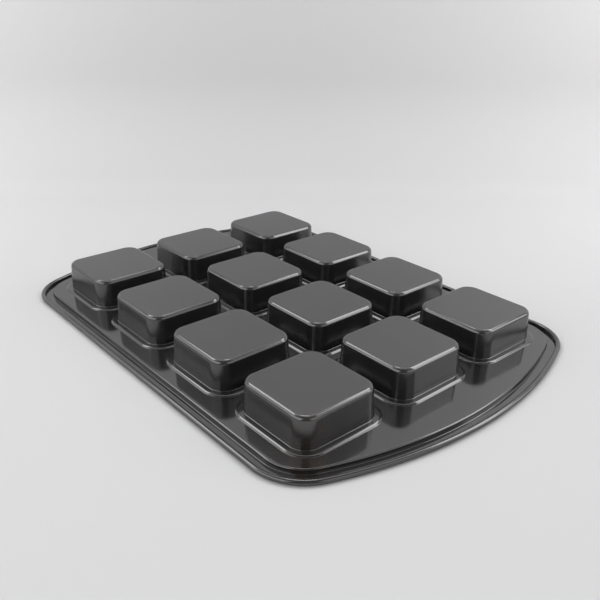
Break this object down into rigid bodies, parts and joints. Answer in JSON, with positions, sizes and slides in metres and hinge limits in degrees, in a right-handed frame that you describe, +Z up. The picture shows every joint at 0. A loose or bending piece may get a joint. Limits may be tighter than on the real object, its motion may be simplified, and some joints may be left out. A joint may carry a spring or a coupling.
{
  "type": "square muffin pan",
  "caption": "Rectangular baking pan with rows of square flat-based cups, a raised deck, bowed end rims to hold it by and a rolled edge.",
  "frame": {"origin": "middle of the pan on the surface that it stands on, with the pan upside down on its rim as it is stored and pictured", "axes": "+Z up, from the rim to the outside of the cup bases; +X along the longer way of the pan, +Y across it"},
  "size_m": [0.3926, 0.2796, 0.0266],
  "materials": {
    "coated_sheet": "dark grey non-stick coating, semi-gloss",
    "rim_wire": "bare drawn steel wire, closed inside the rolled edge"
  },
  "bodies": {
    "root": {"pan_body": "coated_sheet", "rim_wire": "rim_wire"}
  },
  "joints": []
}
